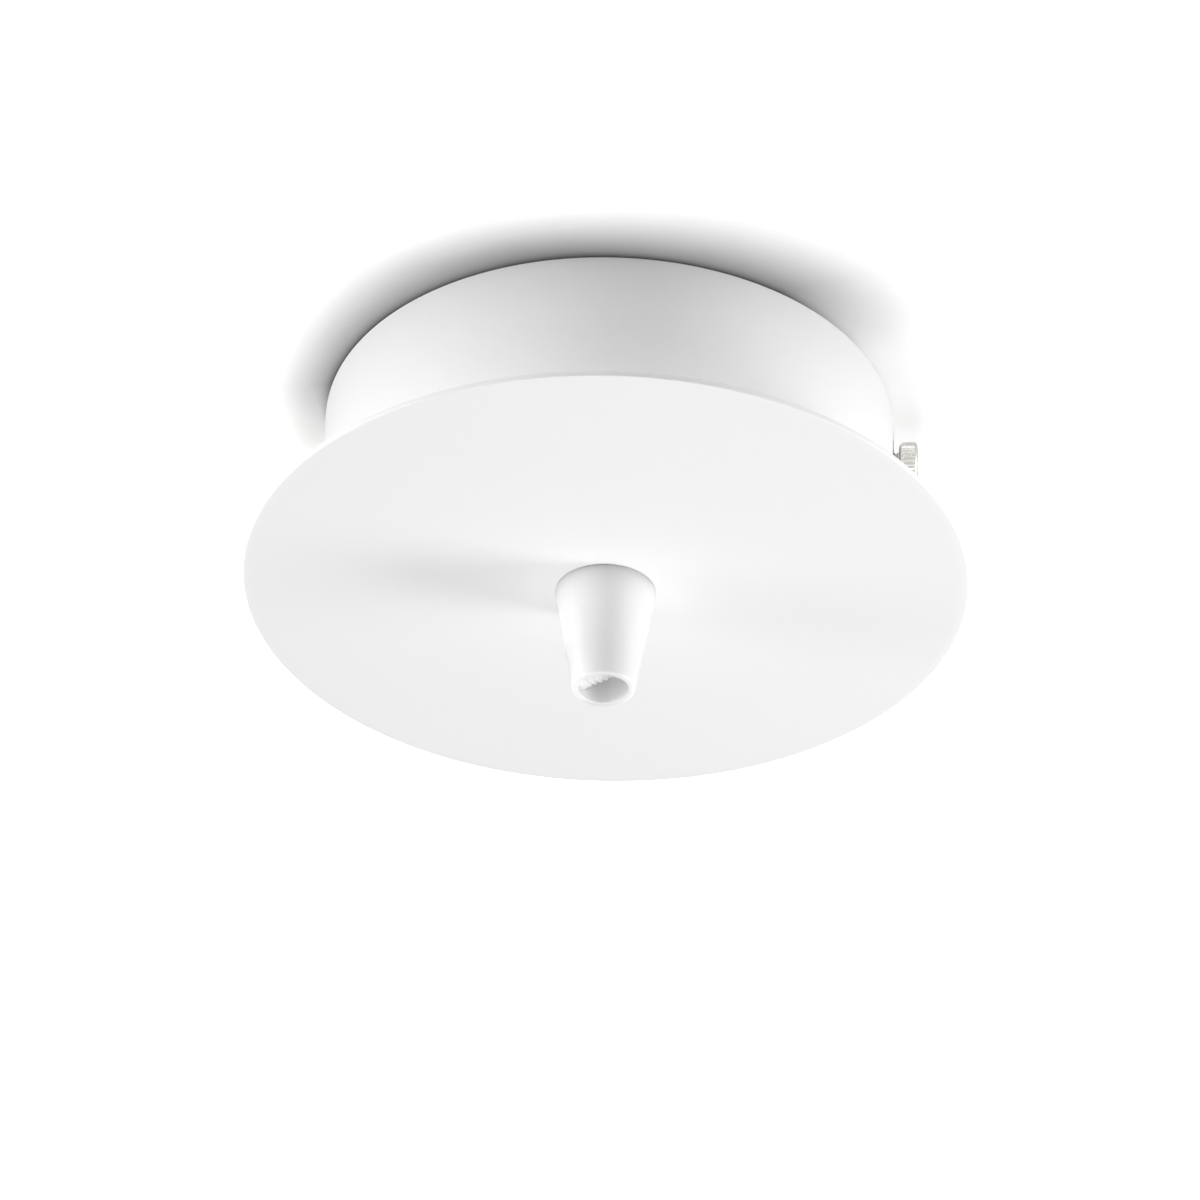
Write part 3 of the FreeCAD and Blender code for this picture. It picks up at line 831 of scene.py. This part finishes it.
def bracketGrids():
    half, thick, bend = bracket["halfWidth"], bracket["thickness"], bracket["outerBend"]
    flat = bracket["faceX"] - bend
    across = np.linspace(-half, half, bracket["side"] + 1)
    faces = (0.0, thick)
    grids = []

    def strap(edge, depth):
        return folded(edge[..., 0], edge[..., 1], depth, flat, bend)

    def through(place, edge):
        # The wall between the two faces along an edge.
        grids.append(np.stack([place(edge, depth) for depth in faces]))

    def sheet(place, along, sides):
        cells = stacked(along[:, None], sides)
        grids.extend([place(cells, depth) for depth in faces])

    def holedSheet(place, edge, centre, run, radius):
        inner = slotEdge(edge, np.array(centre), run, radius)
        grids.extend([ruledGrid(place(edge, depth), place(inner, depth), 3) for depth in faces])
        through(place, inner)

    def band(start, end, walls=(-1, 1), steps=2):
        along = np.linspace(start, end, steps)
        sheet(strap, along, across)
        for sign in walls:
            through(strap, stacked(along, sign * half))

    def holedBand(centre, reach, holes):
        # One row of cells across the strap, each with a hole of (place, run, radius, low, high) in it.
        start, end = centre - reach, centre + reach
        along = np.linspace(start, end, bracket["side"] + 1)
        for side, run, radius, low, high in holes:
            cell = across[(across >= low - weldDistance) & (across <= high + weldDistance)]
            left = stacked(start, cell)
            top = stacked(along, high)
            edge = np.concatenate([left, top[1:], (left + [end - start, 0])[::-1][1:],
                                   (top - [0, high - low])[::-1][1:]])
            holedSheet(strap, edge, (centre, side), run, radius)
        for sign in (-1, 1):
            through(strap, stacked(along, sign * half))

    slot, slotReach = bracket["slotPlace"], bracket["slotReach"]
    cable, screwReach = bracket["cableReach"], bracket["housingScrewReach"]
    screwX, screwY = bracket["housingScrewPlace"]
    screwHole = bracket["housingScrewHole"]
    tabHalf = bracket["tabHalfWidth"]
    tabLow, tabHigh = bracket["tabPlace"] - tabHalf, bracket["tabPlace"] + tabHalf
    slotHole = (0, bracket["slotRun"], bracket["slotRadius"], -half, half)
    band(-flat, -slot - slotReach)
    holedBand(-slot, slotReach, [slotHole])
    band(-slot + slotReach, tabLow)
    band(tabLow, tabHigh, walls=(1,), steps=7)
    band(tabHigh, -cable)
    holedBand(0, cable, [(0, 0, bracket["cableHole"], -half, half)])
    band(cable, screwX - screwReach)
    holedBand(screwX, screwReach, [(-screwY, 0, screwHole, -half, 0), (screwY, 0, screwHole, 0, half)])
    band(screwX + screwReach, slot - slotReach)
    holedBand(slot, slotReach, [slotHole])
    band(slot + slotReach, flat)

    quarter = bend * math.pi / 2
    lift, rim = bracket["collarLength"], bracket["collarEdge"]
    collar, bore = bracket["collarRadius"], bracket["screwHole"]
    edge = tongueEdge(half, bracket["earDrop"] - bend, bracket["earCorner"], across)
    foot = roundedPath([(collar + 1, thick), (collar, thick, rim), (collar, thick + lift, rim),
                        (bore + rim, thick + lift), (bore, thick + lift - rim), (bore, rim),
                        (bore + rim, 0)], 4)[1:]
    for side in (-1, 1):
        band(side * flat, side * (flat + quarter), steps=9)
        ear = edge + [flat + quarter, 0]
        centre = np.array([bracket["holeDrop"] - bend + flat + quarter, 0])
        rings = np.stack([strap(slotEdge(ear, centre, 0, radius) * [side, 1], depth)
                          for radius, depth in foot])
        outside, inside = (strap(ear * [side, 1], depth) for depth in faces)
        root = len(across) - 1
        grids.extend([rings, ruledGrid(outside, rings[-1], 3), ruledGrid(inside, rings[0], 3),
                      np.stack([outside[root:], inside[root:]])])

    def tab(edge, depth):
        # The tab is the same kind of fold, out over the strap's edge towards -Y.
        strip = folded(edge[..., 0], edge[..., 1], depth, half, bend)
        return stacked(strip[..., 1] + bracket["tabPlace"], -strip[..., 0], strip[..., 2])

    tabAcross = np.linspace(-tabHalf, tabHalf, 7)
    along = np.linspace(half, half + quarter, 9)
    sheet(tab, along, tabAcross)
    for sign in (-1, 1):
        through(tab, stacked(along, sign * tabHalf))
    tongue = tongueEdge(tabHalf, bracket["tabDrop"] - bend, bracket["tabCorner"], tabAcross)
    tongue = tongue + [half + quarter, 0]
    holedSheet(tab, tongue, (half + quarter + bracket["tabHoleDrop"] - bend, 0), 0, bore)
    through(tab, tongue[len(tabAcross) - 1:])
    return grids


gridPiece("ceilingBracket", bracketGrids(), "zinc_steel", "rose", "ceiling_bracket", bevel=bracket["edge"])
print("bracket made")


# Terminal block

def dressedCopy(name, slot, body, node, bevel, sharpAngle=32.0):
    # The block's own solid, with its triangles joined into whole faces and its edges rounded.
    mesh = bpy.data.meshes.new(name)
    work = bmesh.new()
    work.from_mesh(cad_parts[node].data)
    bmesh.ops.remove_doubles(work, verts=work.verts, dist=weldDistance)
    bmesh.ops.dissolve_limit(work, angle_limit=math.radians(0.5), verts=work.verts, edges=work.edges)
    closeMesh(work, mesh)
    finishPiece(name, mesh, slot, body, node, bevel, sharpAngle)


dressedCopy("terminalHousing", "natural_nylon", "rose", "terminal_housing", 0.12)

barrel = {
    "radius": 2.7,
    "bore": 1.6,
    "length": 15.0,
    "edge": 0.25,
    "spacing": 9.2,        # between the two cross holes
    "outerHole": (1.55, 0.1),   # radius and edge rounding where a cross hole leaves the barrel
    "innerHole": (1.49, 0.02),  # and where it meets the bore
    "windowReach": 2.2,
    "windowColumns": 36,
    "windowRows": 18,
    "steps": 72,
}


def barrelGrids(node):
    # A tube along its own axis with two cross holes in one side. Its +X side is turned to look down.
    low, high = nodeBox(node)
    half, outer, inner, edge = barrel["length"] / 2, barrel["radius"], barrel["bore"], barrel["edge"]
    angles = fullTurn(barrel["steps"])
    place, reach = barrel["spacing"] / 2, barrel["windowReach"]
    grids = []
    for sign in (-1, 1):
        tip = roundedPath([(outer, sign * (place + reach)), (outer, sign * half, edge),
                           (inner, sign * half, edge), (inner, sign * (place + reach))])
        grids.append(turnedGrid(tip, angles))
    for wall in (outer, inner):
        grids.append(turnedGrid(np.array([[wall, reach - place], [wall, place - reach]]), angles))
    for centre in (-place, place):
        face = {"low": centre - reach, "high": centre + reach, "columns": barrel["windowColumns"],
                "rows": barrel["windowRows"], "slope": 0}
        walls = [{**face, "base": wall, "hole": hole, "rounding": rounding}
                 for wall, (hole, rounding) in ((outer, barrel["outerHole"]), (inner, barrel["innerHole"]))]
        grids += holedWalls(*walls, barrel["steps"], 1, 0, (0, 0, centre), (1, 0, 0))
    turn = np.array([[0, 0, 1], [0, 1, 0], [-1, 0, 0]], float)
    return [grid @ turn.T + (low + high) / 2 for grid in grids]


for pole in "123":
    node = "terminal_barrel_" + pole
    gridPiece("terminalBarrel" + pole, barrelGrids(node), "brass", "rose", node)
print("terminal block made")


# Ceiling, camera and light

ceiling = {
    "radius": 420.0,
    "opening": 59.6,       # the rose is open towards the ceiling, so its inside shows from above
    "middle": 119.6,
    "tone": 0.9,
    "leftPaintedLight": 1.3,       # painted light: seen by the camera, the ceiling is painted lighter or darker between these, from one side of the cup to the other
    "rightPaintedLight": 0.78,     # the cup to the other
    # painted light too: seen by the camera, the ceiling is painted lighter from the front of the cup to its
    # back
    "frontPaintedLight": 1.52,
    "backPaintedLight": 2.3,
    "shadeWidth": 66.0,    # painted shadow of the cup on the ceiling, measured from its wall
    "shadePower": 4.6,
    "shadeDepth": 0.8,
    "contactShadeWidth": 2.4,    # painted contact shade: a darker line where the cup meets the ceiling
    "contactShadePower": 2.0,
    "contactShadeDepth": 0.12,
    "shadeSlant": 0.28,    # the shade fades between these two lines across the ceiling,
    "shadeFront": -35.8,   # which run from side to side and come forward to the right
    "shadeBack": -8.8,
    "shadeRest": 0.29,
    "steps": 180,
}


def arithmetic(tree, operation, *values):
    return addNode(tree, "ShaderNodeMath", dict(enumerate(values)), operation=operation).outputs[0]


def ceilingShade(tree):
    # One less the painted shadow: its depth times (1 - distance from the wall / width) to a power, plus
    # the painted contact shade. Then the painted light, which makes the ceiling lighter or darker across it.
    place = addNode(tree, "ShaderNodeTexCoord").outputs["Object"]
    apart = addNode(tree, "ShaderNodeSeparateXYZ", {0: place}).outputs
    middle = addNode(tree, "ShaderNodeVectorMath", {0: place}, operation="LENGTH").outputs["Value"]
    wall = cup["radius"] * mm
    parts = []
    for part in ("shade", "contactShade"):
        near = mapped(tree, middle, wall, wall + ceiling[part + "Width"] * mm, 1.0, 0.0)
        curve = arithmetic(tree, "POWER", near, ceiling[part + "Power"])
        parts.append(arithmetic(tree, "MULTIPLY", curve, ceiling[part + "Depth"]))
    across = arithmetic(tree, "MULTIPLY_ADD", apart["X"], ceiling["shadeSlant"], apart["Y"])
    fade = mapped(tree, across, ceiling["shadeFront"] * mm, ceiling["shadeBack"] * mm, 1.0,
                  ceiling["shadeRest"])
    shade = arithmetic(tree, "MULTIPLY", arithmetic(tree, "ADD", *parts), fade)
    tone = arithmetic(tree, "SUBTRACT", 1.0, shade)
    for axis, low, high in (("X", "leftPaintedLight", "rightPaintedLight"), ("Y", "frontPaintedLight", "backPaintedLight")):
        slant = mapped(tree, apart[axis], -wall, wall, ceiling[low], ceiling[high])
        tone = arithmetic(tree, "MULTIPLY", tone, slant)
    return tone


def ceilingMaterial():
    # One-sided paint: its upper side lets rays through. Seen by the camera it is bright enough to be white
    # away from the rose, and near it the lamps' real shadow of the rose has painted shadow and painted light
    # laid over it.
    material = bpy.data.materials.new("ceilingPaint")
    material.use_nodes = True
    tree = material.node_tree
    tree.nodes.clear()
    path = addNode(tree, "ShaderNodeLightPath").outputs["Is Camera Ray"]
    upper = addNode(tree, "ShaderNodeNewGeometry").outputs["Backfacing"]
    seen = addNode(tree, "ShaderNodeBsdfDiffuse", {"Color": ceilingShade(tree)}).outputs[0]
    plain = addNode(tree, "ShaderNodeBsdfDiffuse", {"Color": (ceiling["tone"],) * 3 + (1,)}).outputs[0]
    under = addNode(tree, "ShaderNodeMixShader", {0: path, 1: plain, 2: seen}).outputs[0]
    clear = addNode(tree, "ShaderNodeBsdfTransparent").outputs[0]
    both = addNode(tree, "ShaderNodeMixShader", {0: upper, 1: under, 2: clear}).outputs[0]
    addNode(tree, "ShaderNodeOutputMaterial", {"Surface": both})
    return material


def makeCeiling():
    # A flat ring in the plane of the rose's rim. Its normals point down.
    rings = np.array([[ceiling[key], 0] for key in ("opening", "middle", "radius")])
    points = turnedGrid(rings, fullTurn(ceiling["steps"])).reshape(-1, 3) * mm
    mesh = bpy.data.meshes.new("ceiling")
    mesh.from_pydata(points.tolist(), [], gridFaces(len(rings), ceiling["steps"] + 1).tolist())
    mesh.materials.append(ceilingMaterial())
    newObject("ceiling", mesh)


camera = {
    "azimuth": 5.0,
    "elevation": -35.749,
    "distance": 1045.4,
    "roll": 1.423,
    "aimRight": -0.00110,
    "aimUp": -0.03426,
    "lens": 148.2,
    "sensor": 36.0,
}


def makeCamera():
    # The camera looks at the origin, then its aim is shifted right and up and the picture is rolled.
    azimuth, elevation = math.radians(camera["azimuth"]), math.radians(camera["elevation"])
    roll = math.radians(camera["roll"])
    away = Vector((math.sin(azimuth) * math.cos(elevation), -math.cos(azimuth) * math.cos(elevation),
                   math.sin(elevation)))
    right = Vector((math.cos(azimuth), math.sin(azimuth), 0))
    up = right.cross(-away)
    forward = (-away + camera["aimRight"] * right + camera["aimUp"] * up).normalized()
    right = forward.cross(Vector((0, 0, 1))).normalized()
    up = right.cross(forward)
    rolledRight = math.cos(roll) * right + math.sin(roll) * up
    rolledUp = math.cos(roll) * up - math.sin(roll) * right
    data = bpy.data.cameras.new("camera")
    data.lens = camera["lens"]
    data.sensor_width = camera["sensor"]
    data.clip_start = 0.01
    data.clip_end = 20
    view = newObject("camera", data)
    turn = Matrix((rolledRight, rolledUp, -forward)).transposed().to_4x4()
    view.matrix_world = Matrix.Translation(away * camera["distance"] * mm) @ turn
    bpy.context.scene.camera = view


lights = {
    # name: bearing and elevation seen from the rose, distance, width, height and strength
    "left": (-76.0, -3.0, 900.0, 300.0, 400.0, 6.9),
    "right": (93.0, -3.0, 900.0, 300.0, 400.0, 4.1),
    "rightLow": (103.0, -30.0, 900.0, 260.0, 260.0, 2.7),
    "front": (0.0, -3.0, 900.0, 900.0, 300.0, 1.0),
    "below": (0.0, -87.0, 900.0, 600.0, 600.0, 4.85),
    "above": (0.0, 80.0, 900.0, 700.0, 700.0, 5.0),
}
ambient = 0.15


def makeLight(name, bearing, elevation, distance, width, height, strength):
    # bearing 0 is the camera's side (-Y) and 90 is +X, as for the camera's azimuth.
    data = bpy.data.lights.new(name, "AREA")
    data.shape = "RECTANGLE"
    data.size, data.size_y = width * mm, height * mm
    data.energy = strength
    lamp = newObject(name, data)
    a, e = math.radians(bearing), math.radians(elevation)
    place = Vector((math.sin(a) * math.cos(e), -math.cos(a) * math.cos(e), math.sin(e))) * distance * mm
    lamp.location = place
    lamp.rotation_mode = "QUATERNION"
    lamp.rotation_quaternion = (-place).to_track_quat("-Z", "Y")
    lamp.visible_camera = False


def makeWorld():
    # White where the camera, a reflection or a refraction sees it, and a plain grey light otherwise.
    world = bpy.data.worlds.new("studio")
    bpy.context.scene.world = world
    world.use_nodes = True
    tree = world.node_tree
    tree.nodes.clear()
    path = addNode(tree, "ShaderNodeLightPath").outputs
    seen = arithmetic(tree, "MAXIMUM", path["Is Camera Ray"], path["Is Glossy Ray"])
    seen = arithmetic(tree, "MAXIMUM", seen, path["Is Transmission Ray"])
    grey, white = (addNode(tree, "ShaderNodeBackground", {"Color": (1, 1, 1, 1), "Strength": strength})
                   for strength in (ambient, 1.0))
    mix = addNode(tree, "ShaderNodeMixShader", {0: seen, 1: grey.outputs[0], 2: white.outputs[0]})
    addNode(tree, "ShaderNodeOutputWorld", {"Surface": mix.outputs[0]})


makeCeiling()
makeCamera()
for lightName, settings in lights.items():
    makeLight(lightName, *settings)
makeWorld()
bpy.context.scene.view_settings.view_transform = "Standard"
print("ceiling, camera and light made")
